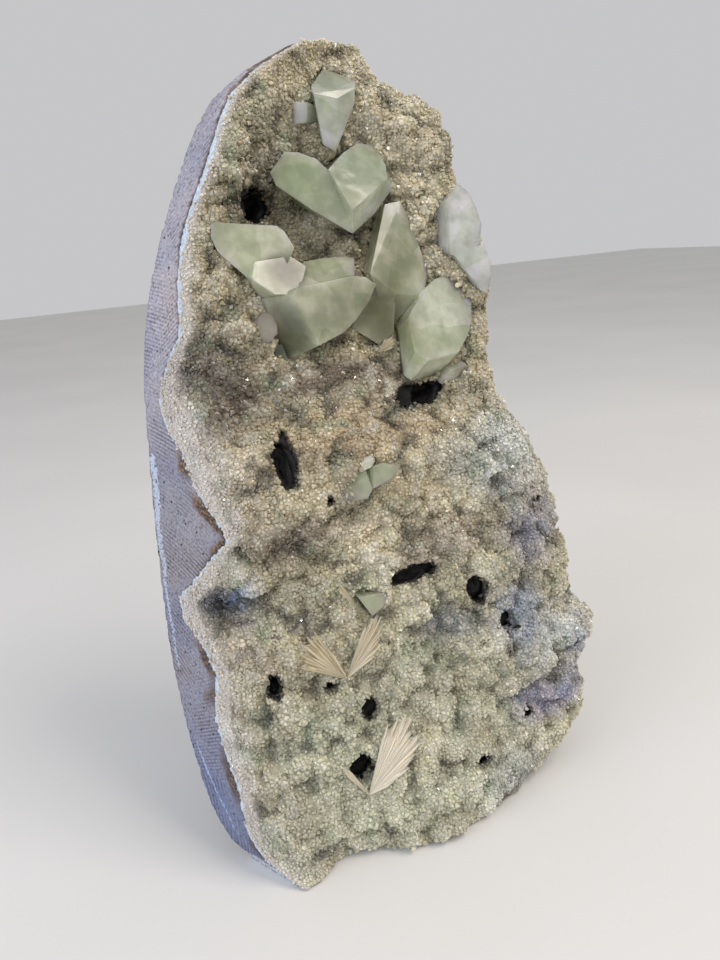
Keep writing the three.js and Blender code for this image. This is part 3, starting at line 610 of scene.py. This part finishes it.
crust_piece = mesh_piece("quartz_crust", crust, crust_quads, chalcedony, "druse", True, tint=crust_tint)
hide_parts("quartz_druse")

# Quartz points
# The glitter of the druse: quartz crystals mostly 1 to 3 mm across, grown side by side out of the crust,
# each a six-sided point with uneven faces. They are joined into meshes one above the other.
# Points grow on crust turned this far forward, or this far to the left on the cut, which is this near in
# mm. In the holes they stop at this share of the way to the rim.
POINTS_FORWARD = 0.1
POINTS_LEFTWARD = -0.3
CUT_NEAR = 1.0
POINTS_TO_RIM = 0.8
# How far apart they are at least, how far off their places and how wide, in mm. Their lengths are shares
# of the radius. Then how far they tilt, and how far they stand out of the crust in mm.
POINT_GAP = 0.9
POINT_SCATTER = 0.3
POINT_RADIUS = (0.66, 1.15)
POINT_LENGTH = (0.25, 0.7)
POINT_TILT = 0.6
POINT_STAND = (-0.1, 0.2)
# Places where they are larger or smaller: size in mm and how much. On the cut they are smaller.
POINT_SWELL = (9, 0.25)
POINT_ON_CUT = 0.75
# The lowest heights in mm for the crust that a point grows on, for its middle and for its corners.
LOWEST_SEED = 1.4
LOWEST_POINT = 1.7
LOWEST_CORNER = 0.1
# The unevenness of one point, as shares of its radius, its length and its radius, and how deep its root is.
CORNER_REACH = (0.85, 1.15)
CORNER_RISE = (-0.28, 0.28)
TIP_ASIDE = (-0.3, 0.3)
ROOT_DEPTH = 1.8
POINT_SHADE = (0.88, 1.06)
POINT_ROUGHNESS = (0.08, 0.45)
# Where the points grow larger: across, up, half width, half height, and how much larger.
LARGE_POINTS = (
    (12, 192, 22, 12, 0.9), (66, 120, 12, 5, 1.0), (40, 268, 24, 22, 0.5), (98, 250, 20, 30, 0.3),
)
BANDS = 6
CORNERS = 6


def chosen_places(points, gap):
    """Which of the shuffled points to keep so that no cube of side gap holds two."""
    order = rng.permutation(len(points))
    cells = np.floor(points[order] / gap).astype(np.int64)
    _, first = np.unique(cells @ CELL_KEY, return_index=True)
    return order[first]


def quartz_points(base, axis, radius, length):
    """Six-sided points as one mesh: on each axis a root behind the base, a ring of six corners of uneven
    height and radius, and a tip off the middle. Side directions are the axis crossed with a random one."""
    count = len(base)
    aside = np.cross(axis, rng.normal(size=(count, 3)))
    aside /= np.linalg.norm(aside, axis=1, keepdims=True)
    across = np.cross(axis, aside)
    angle = np.arange(CORNERS) * 2 * np.pi / CORNERS
    reach = radius[:, None] * rng.uniform(*CORNER_REACH, (count, CORNERS))
    rise = length[:, None] * rng.uniform(*CORNER_RISE, (count, CORNERS))
    ring = (
        base[:, None]
        + aside[:, None] * (reach * np.cos(angle))[..., None]
        + across[:, None] * (reach * np.sin(angle))[..., None]
        + axis[:, None] * rise[..., None]
    )
    lean = aside * (radius * rng.uniform(*TIP_ASIDE, count))[:, None]
    tip = base + axis * length[:, None] + lean
    root = base - axis * (radius * ROOT_DEPTH)[:, None]
    points = np.concatenate([root[:, None], ring, tip[:, None]], axis=1).reshape(-1, 3)
    turn = np.arange(CORNERS)
    after = (turn + 1) % CORNERS
    lower = np.stack([np.zeros(CORNERS, int), 1 + after, 1 + turn], axis=1)
    upper = np.stack([1 + turn, 1 + after, np.full(CORNERS, CORNERS + 1)], axis=1)
    faces = np.concatenate([lower, upper])[None] + (np.arange(count) * (CORNERS + 2))[:, None, None]
    return points, faces.reshape(-1, 3)


middles = crust[crust_quads].mean(axis=1)
quad_crest = crest[crust_quads].mean(axis=1)
quad_facing = np.cross(
    crust[crust_quads[:, 2]] - crust[crust_quads[:, 0]], crust[crust_quads[:, 3]] - crust[crust_quads[:, 1]]
)
quad_facing /= np.linalg.norm(quad_facing, axis=1, keepdims=True)
across, up, depth = specimen_place(middles)
inside = inside_cut(across, up, depth)
on_face = (quad_facing[:, 1] < POINTS_FORWARD) & (inside > CUT_NEAR)
past_band = before_rock(middles, up, depth) > BARE_BAND
on_cut = (inside <= CUT_NEAR) & (quad_facing[:, 0] < POINTS_LEFTWARD) & past_band
open_face = (on_face | on_cut) & (up > LOWEST_SEED) & (in_holes(middles) > POINTS_TO_RIM)
seeds = middles[open_face] + rng.normal(scale=POINT_SCATTER * MM, size=(open_face.sum(), 3))
seed_facing = quad_facing[open_face]
seed_crest = quad_crest[open_face]
kept = chosen_places(seeds, POINT_GAP * MM)
seeds, seed_facing, seed_crest = seeds[kept], seed_facing[kept], seed_crest[kept]
across, up, depth = specimen_place(seeds)
size = rng.uniform(*POINT_RADIUS, len(seeds))
size = size * (1 + POINT_SWELL[1] * noise(seeds / MM, POINT_SWELL[0], 70))
for middle, height, wide, tall, more in LARGE_POINTS:
    bell = np.exp(-(((across - middle) / wide) ** 2) - ((up - height) / tall) ** 2)
    size = size * (1 + more * bell * rng.uniform(0, 1, len(seeds)) ** 2)
size = size * (POINT_ON_CUT + (1 - POINT_ON_CUT) * smooth_step(inside_cut(across, up, depth), 0, 3))
axis = seed_facing + rng.normal(scale=POINT_TILT, size=seeds.shape)
axis /= np.linalg.norm(axis, axis=1, keepdims=True)
stand = rng.uniform(*POINT_STAND, len(seeds))
base = seeds + seed_facing * (stand * MM)[:, None]
base[:, 2] = np.maximum(base[:, 2], LOWEST_POINT * MM)
points, faces = quartz_points(base, axis, size * MM, size * rng.uniform(*POINT_LENGTH, len(seeds)) * MM)
points[:, 2] = np.maximum(points[:, 2], LOWEST_CORNER * MM)
shade = rng.uniform(*POINT_SHADE, len(seeds))
# The points take the druse's colours, with its painted shade and highlight.
point_tint = np.clip(druse_colour(seeds, seed_crest) * shade[:, None], 0, 1)

# Quartz points: colourless rock crystal over the crust, greyed by the clay and chlorite in it. Smooth faces
# give the glitter; most of the light goes in, spreads and comes back milky.
rock_crystal, tree, output = new_material("quartz_points")
point_mark = add_node(tree, "ShaderNodeAttribute", output="Color", attribute_name="tint")
polish = add_node(tree, "ShaderNodeAttribute", output="Fac", attribute_name="polish")
skin = add_node(tree, "ShaderNodeBsdfPrincipled", {
    "Base Color": point_mark, "Roughness": polish, "IOR": 1.544, "Transmission Weight": 0.12,
    "Subsurface Weight": 0.7, "Subsurface Radius": (1.0, 0.92, 0.8), "Subsurface Scale": 1.6 * MM,
})
tree.links.new(skin, output.inputs["Surface"])

band = np.clip((seeds[:, 2] / (cad_box[1].z / BANDS)).astype(int), 0, BANDS - 1)
corner_count = CORNERS + 2
polished = rng.uniform(*POINT_ROUGHNESS, len(seeds))
for level in range(BANDS):
    members = np.flatnonzero(band == level)
    rows = (members[:, None] * corner_count + np.arange(corner_count)).ravel()
    local = faces.reshape(len(seeds), -1, 3)[members] - (members * corner_count)[:, None, None]
    local = local + (np.arange(len(members)) * corner_count)[:, None, None]
    mesh_piece(
        f"quartz_points_{level + 1}", points[rows], local.reshape(-1, 3), rock_crystal, "druse", False,
        tint=np.repeat(point_tint[members], corner_count, axis=0),
        polish=np.repeat(polished[members], corner_count),
    )

# Apophyllite crystals
# Blocky glassy crystals with steep pyramid faces, pale mint green and milky, grown together in groups. Each
# keeps its CAD solid's faces, cut finer to carry its colours, with worn edges.
EDGE_WORN = 0.4 * MM
WORN_ANGLE = np.radians(12)
FACE_CUTS = 5
CRYSTAL_BASE = "#e6e5ce"
# Crystals and corners that are whiter or darker: across, up, half width, half height, colour and strength.
# The white zones on faces turned down and on small crystals are painted light, for light through the
# crystal and for glints; the darkest zones are painted shade and the narrow pale blue ones painted
# reflections on edges.
CRYSTAL_ZONES = (
    (70, 306, 15, 7, "#c8cbc2", 0.8),
    (70, 289, 12, 11, "#ffffff", 0.95),
    (50, 268, 13, 15, "#d8dfbe", 0.8),
    (77, 274, 15, 10, "#d0d7c4", 0.85),
    (82, 257, 12, 8, "#ffffff", 1.0),
    (91, 268, 4, 12, "#d8e7f6", 0.7),
    (26, 248, 17, 12, "#f4f3de", 0.8),
    (37, 239, 9, 7, "#71705c", 0.9),
    (33, 215, 9, 13, "#62634b", 0.9),
    (28, 219, 5, 7, "#fff4e0", 0.9),
    (58, 297, 5, 5, "#ffffff", 0.9),
    (60, 222, 14, 12, "#b9baa0", 0.85),
    (86, 242, 12, 19, "#b2b294", 0.85),
    (78, 219, 11, 13, "#95926f", 0.85),
    (103, 217, 16, 14, "#f4f6e8", 0.85),
    (119, 222, 3, 10, "#c9daf0", 0.7),
    (92, 197, 14, 8, "#fffdf0", 1.0),
    (121, 246, 12, 26, "#ffffff", 1.0),
    (54, 159, 16, 13, "#c8d0b2", 0.8),
    (49, 109, 12, 8, "#c2c8ac", 0.8),
)


def crystal_colour(points):
    """The crystals' linear colour: the base colour moved towards each zone's colour by a bell curve."""
    across, up, _ = specimen_place(points)
    tint = np.tile(colour(CRYSTAL_BASE)[:3], (len(points), 1))
    for middle, height, wide, tall, zone_colour, strength in CRYSTAL_ZONES:
        spread = ((across - middle) / wide) ** 2 + ((up - height) / tall) ** 2
        tint = toward(tint, zone_colour, strength * np.exp(-(spread**2)))
    return tint


# Apophyllite: pale green crystal, made cloudy by milky veils; smooth pearly faces with fine growth lines.
apophyllite_material, tree, output = new_material("apophyllite")
place = add_node(tree, "ShaderNodeTexCoord", output="Object")
clouds = add_node(tree, "ShaderNodeTexNoise", {"Vector": place, "Scale": 1 / (8 * MM), "Detail": 6.0})
veil = add_node(tree, "ShaderNodeValToRGB", {"Fac": clouds}, ((0.35, "#eef1ea"), (0.62, "#ffffff")))
crystal_mark = add_node(tree, "ShaderNodeAttribute", output="Color", attribute_name="tint")
milk = add_node(
    tree, "ShaderNodeMixRGB", {"Fac": 1.0, "Color1": crystal_mark, "Color2": veil}, blend_type="MULTIPLY"
)
planes = add_node(tree, "ShaderNodeTexVoronoi", {"Vector": place, "Scale": 1 / (12 * MM)}, output="Color")
plane_tone = add_node(tree, "ShaderNodeValToRGB", {"Fac": planes}, ((0.2, "#e4e9dd"), (0.8, "#ffffff")))
milk = add_node(
    tree, "ShaderNodeMixRGB", {"Fac": 1.0, "Color1": milk, "Color2": plane_tone}, blend_type="MULTIPLY"
)
clear_parts = add_node(tree, "ShaderNodeValToRGB", {"Fac": clouds}, ((0.4, "#c8c8c8"), (0.6, "#b6b6b6")))
grown = add_node(tree, "ShaderNodeMapping", {"Vector": place, "Scale": (1.0, 1.0, 0.25)})
lines = add_node(tree, "ShaderNodeTexNoise", {"Vector": grown, "Scale": 1 / (2.2 * MM), "Detail": 4.0})
swells = add_node(tree, "ShaderNodeTexNoise", {"Vector": place, "Scale": 1 / (13 * MM), "Detail": 1.0})
steps = add_node(tree, "ShaderNodeTexVoronoi", {"Vector": place, "Scale": 1 / (7 * MM)}, output="Color")
ripple = add_node(tree, "ShaderNodeBump", {"Height": lines, "Strength": 0.2, "Distance": 0.25 * MM})
uneven = add_node(tree, "ShaderNodeBump", {
    "Height": swells, "Strength": 0.5, "Distance": 1.2 * MM, "Normal": ripple,
})
stepped = add_node(tree, "ShaderNodeBump", {
    "Height": steps, "Strength": 0.25, "Distance": 0.3 * MM, "Normal": uneven,
})
skin = add_node(tree, "ShaderNodeBsdfPrincipled", {
    "Base Color": milk, "Roughness": 0.14, "IOR": 1.535, "Transmission Weight": clear_parts,
    "Normal": stepped, "Subsurface Weight": 1.0, "Subsurface Radius": (0.85, 1.0, 0.75),
    "Subsurface Scale": 10 * MM,
})
depths = add_node(tree, "ShaderNodeVolumeAbsorption", {"Color": colour("#c3ccb0"), "Density": 25.0})
tree.links.new(skin, output.inputs["Surface"])
tree.links.new(depths, output.inputs["Volume"])

for node_name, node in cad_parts.items():
    if not node_name.startswith("apophyllite"):
        continue
    crystal = welded_copy(node, node_name + "_crystals")
    finer = bmesh.new()
    finer.from_mesh(crystal.data)
    bmesh.ops.subdivide_edges(finer, edges=finer.edges, cuts=FACE_CUTS, use_grid_fill=True)
    finer.to_mesh(crystal.data)
    finer.free()
    add_attribute(crystal.data, "tint", crystal_colour(node_points(crystal)))
    crystal.data.materials.append(apophyllite_material)
    worn = crystal.modifiers.new("worn edges", "BEVEL")
    worn.width = EDGE_WORN
    worn.segments = 2
    worn.limit_method = "ANGLE"
    worn.angle_limit = WORN_ANGLE
    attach(crystal, "root")
    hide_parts(node_name)

# Scolecite fans
# Sprays of hair-thin white needles grown side by side from one point, cream with age. Each large fan is a
# few hundred tapered needles in a thin sheet, split at its tips.
NEEDLE_SIDES = 4
# In mm: how thick the needles are and how far they stray from their sheet.
NEEDLE_RADIUS = (0.17, 0.34)
SHEET_SPREAD = 0.4
# How far a needle reaches, as a share of the way to the line of tips, which dips by this much in waves.
NEEDLE_REACH = (0.8, 1.03)
SPLIT_DEPTH = 0.13
SPLIT_WAVES = 4.1
# The thin foot's width and the height of the full ring, as shares, and the span of a fan's tones.
FOOT_WIDTH = 0.55
FULL_HEIGHT = 0.8
TONES = 0.6
# Each fan's root, its tips from one side to the other, how many needles it has and the palest of its tones.
BOW_ROOT = (32, 82, -2)
BOW_LEFT_TIPS = ((11, 95, -7), (13, 102, -8), (15, 106, -9), (19, 109, -9), (22, 104, -8), (26, 97, -6))
BOW_RIGHT_TIPS = ((42, 104, -8), (46, 107, -9), (49, 108, -9), (50, 103, -8), (49, 98, -7), (46, 91, -6))
LOWER_ROOT = (33, 33, -3)
LOWER_TIPS = (
    (43, 64, -10), (49, 67, -12), (54, 68, -13), (53, 61, -13), (57, 57, -13), (55, 51, -12), (51, 43, -9),
    (43, 36, -5),
)
TUFT_TIPS = ((76, 209.6, 6), (79.5, 209.8, 4), (80.2, 207.6, 4), (79.4, 205, 5))
FANS = {
    "scolecite_bow": ((BOW_ROOT, BOW_LEFT_TIPS, 560, 0.6), (BOW_ROOT, BOW_RIGHT_TIPS, 500, 0.55)),
    "scolecite_lower": (
        (LOWER_ROOT, LOWER_TIPS, 900, 1.3),
        (LOWER_ROOT, ((20, 54, -7), (23, 50, -7)), 50, 1.0),
    ),
    "scolecite_blades": (((42, 107, -1), ((32, 121, -5), (35, 122, -4)), 30, 0.6),),
    "scolecite_tuft": (((74.3, 203, 12), TUFT_TIPS, 40, 0.7),),
}


def needles(root, tips, count, palest):
    """Tapered four-sided needles from near the root to places along the line of the tips: each has a thin
    foot, a full ring most of the way up and a point, and stands a little to one side of the sheet."""
    ends = at_place(*np.array(tips, float).T)
    foot = at_place(*np.array(root, float))
    share = rng.uniform(0, len(tips) - 1, count)
    whole = np.minimum(share.astype(int), len(tips) - 2)
    part = (share - whole)[:, None]
    tip = ends[whole] * (1 - part) + ends[whole + 1] * part
    split = 1 - SPLIT_DEPTH * np.abs(np.sin(share * SPLIT_WAVES))
    reach = (rng.uniform(*NEEDLE_REACH, count) * split)[:, None]
    along = (tip - foot) * reach
    sheet = np.cross(ends[-1] - ends[0], along)
    sheet /= np.linalg.norm(sheet, axis=1, keepdims=True)
    aside = np.cross(sheet, along)
    aside /= np.linalg.norm(aside, axis=1, keepdims=True)
    offset = sheet * rng.normal(scale=SHEET_SPREAD * MM, size=(count, 1))
    wide = rng.uniform(*NEEDLE_RADIUS, count)[:, None] * MM
    angle = np.arange(NEEDLE_SIDES) * 2 * np.pi / NEEDLE_SIDES

    def ring(middle, scale):
        """Four corners round each needle's middle line, its width times the scale away."""
        turn = aside[:, None] * np.cos(angle)[:, None] + sheet[:, None] * np.sin(angle)[:, None]
        return middle[:, None] + turn * (wide * scale)[:, None]

    low = ring(foot + along * 0.02 + offset * 0.3, FOOT_WIDTH)
    high = ring(foot + along * FULL_HEIGHT + offset, 1.0)
    upper_end = (foot + along + offset)[:, None]
    lower_end = (foot - along * 0.01)[:, None]
    points = np.concatenate([low, high, upper_end, lower_end], axis=1)
    turn = np.arange(NEEDLE_SIDES)
    after = (turn + 1) % NEEDLE_SIDES
    to_upper = np.full(NEEDLE_SIDES, 2 * NEEDLE_SIDES)
    faces = np.concatenate([
        np.stack([turn, after, after + NEEDLE_SIDES], axis=1),
        np.stack([turn, after + NEEDLE_SIDES, turn + NEEDLE_SIDES], axis=1),
        np.stack([turn + NEEDLE_SIDES, after + NEEDLE_SIDES, to_upper], axis=1),
        np.stack([after, turn, to_upper + 1], axis=1),
    ])
    step = 2 * NEEDLE_SIDES + 2
    faces = (faces[None] + (np.arange(count) * step)[:, None, None]).reshape(-1, 3)
    tone = np.repeat(rng.uniform(palest - TONES, palest, count), step)
    return points.reshape(-1, 3), faces, tone


# Scolecite: silky white needles, cream with age, each with glassy sides.
scolecite_material, tree, output = new_material("scolecite_needles")
needle_tone = add_node(tree, "ShaderNodeAttribute", output="Fac", attribute_name="tone")
cream_stops = ((0.0, "#baa884"), (0.4, "#d9caa8"), (1.0, "#f2e5c8"))
cream = add_node(tree, "ShaderNodeValToRGB", {"Fac": needle_tone}, cream_stops)
skin = add_node(tree, "ShaderNodeBsdfPrincipled", {
    "Base Color": cream, "Roughness": 0.32, "IOR": 1.52, "Subsurface Weight": 0.5,
    "Subsurface Radius": (1.0, 0.9, 0.75), "Subsurface Scale": 1.0 * MM,
})
tree.links.new(skin, output.inputs["Surface"])

for node_name, sprays in FANS.items():
    meshes = [needles(*spray) for spray in sprays]
    starts = np.cumsum([0] + [len(spray[0]) for spray in meshes[:-1]])
    fan_points = np.concatenate([spray[0] for spray in meshes])
    fan_faces = np.concatenate([spray[1] + start for spray, start in zip(meshes, starts)])
    tone = np.concatenate([spray[2] for spray in meshes])
    fan = mesh_piece(
        node_name + "_needles", fan_points, fan_faces, scolecite_material, "scolecite", False, tone=tone
    )
    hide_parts(node_name)

# Floor, light and camera
# A plain pale floor, a warm soft light above, a cooler one on the left, a small bright one for the glitter,
# and a camera at the photograph's angle.
FLOOR_REACH = 4.0
# Each light: where it is and what it points at in metres, how wide it is, its watts and its colour.
LIGHTS = (
    ("ceiling", (0.6, -0.75, 1.4), (0, 0, 0.16), 0.8, 13, "#fff5ea"),
    ("glitter", (-0.55, -1.15, 1.2), (0, 0, 0.18), 0.14, 4, "#ffffff"),
    ("window", (-1.5, -0.45, 0.75), (0, 0, 0.17), 1.4, 13.5, "#dae4ff"),
)
# The camera stands to the left and above, turned to the right, tipped down and a little rolled.
LENS, SENSOR = 30, 36
CAMERA_PLACE = Vector((-140.78, -300.34, 249.9)) * MM
AZIMUTH, PITCH, ROLL = np.radians(24), np.radians(17), np.radians(5)

floor_corners = [(x * FLOOR_REACH, y * FLOOR_REACH, 0) for x, y in ((-1, -1), (1, -1), (1, 1), (-1, 1))]
floor_mesh = bpy.data.meshes.new("floor")
floor_mesh.from_pydata(floor_corners, [], [(0, 1, 2, 3)])
floor = bpy.data.objects.new("floor", floor_mesh)
bpy.context.scene.collection.objects.link(floor)
paper, tree, output = new_material("pale_paper")
place = add_node(tree, "ShaderNodeTexCoord", output="Object")
pulp = add_node(tree, "ShaderNodeTexNoise", {"Vector": place, "Scale": 1 / 0.3})
paper_tone = add_node(tree, "ShaderNodeValToRGB", {"Fac": pulp}, ((0.3, "#d6d5d2"), (0.7, "#dcdbd8")))
skin = add_node(tree, "ShaderNodeBsdfPrincipled", {"Base Color": paper_tone, "Roughness": 0.9})
tree.links.new(skin, output.inputs["Surface"])
floor_mesh.materials.append(paper)

world = bpy.data.worlds.new("studio")
world.use_nodes = True
sky = world.node_tree.nodes["Background"]
sky.inputs["Color"].default_value = colour("#e8e8ea")
sky.inputs["Strength"].default_value = 0.7
bpy.context.scene.world = world

for name, place, target, side, power, tint in LIGHTS:
    lamp = bpy.data.lights.new(name, "AREA")
    lamp.size = side
    lamp.energy = power
    lamp.color = colour(tint)[:3]
    made = bpy.data.objects.new(name, lamp)
    made.location = place
    made.rotation_euler = (Vector(target) - Vector(place)).to_track_quat("-Z", "Y").to_euler()
    bpy.context.scene.collection.objects.link(made)

view = np.array([np.sin(AZIMUTH) * np.cos(PITCH), np.cos(AZIMUTH) * np.cos(PITCH), -np.sin(PITCH)])
level = np.array([np.cos(AZIMUTH), -np.sin(AZIMUTH), 0])
rise = np.cross(level, view)
right = level * np.cos(ROLL) - rise * np.sin(ROLL)
top = rise * np.cos(ROLL) + level * np.sin(ROLL)
lens = bpy.data.cameras.new("camera")
lens.lens = LENS
lens.sensor_width = SENSOR
lens.clip_start = 0.01
camera = bpy.data.objects.new("camera", lens)
camera.matrix_world = Matrix(np.column_stack([right, top, -view]).tolist()).to_4x4()
camera.location = CAMERA_PLACE
bpy.context.scene.collection.objects.link(camera)
bpy.context.scene.camera = camera
bpy.context.scene.view_settings.view_transform = "Standard"
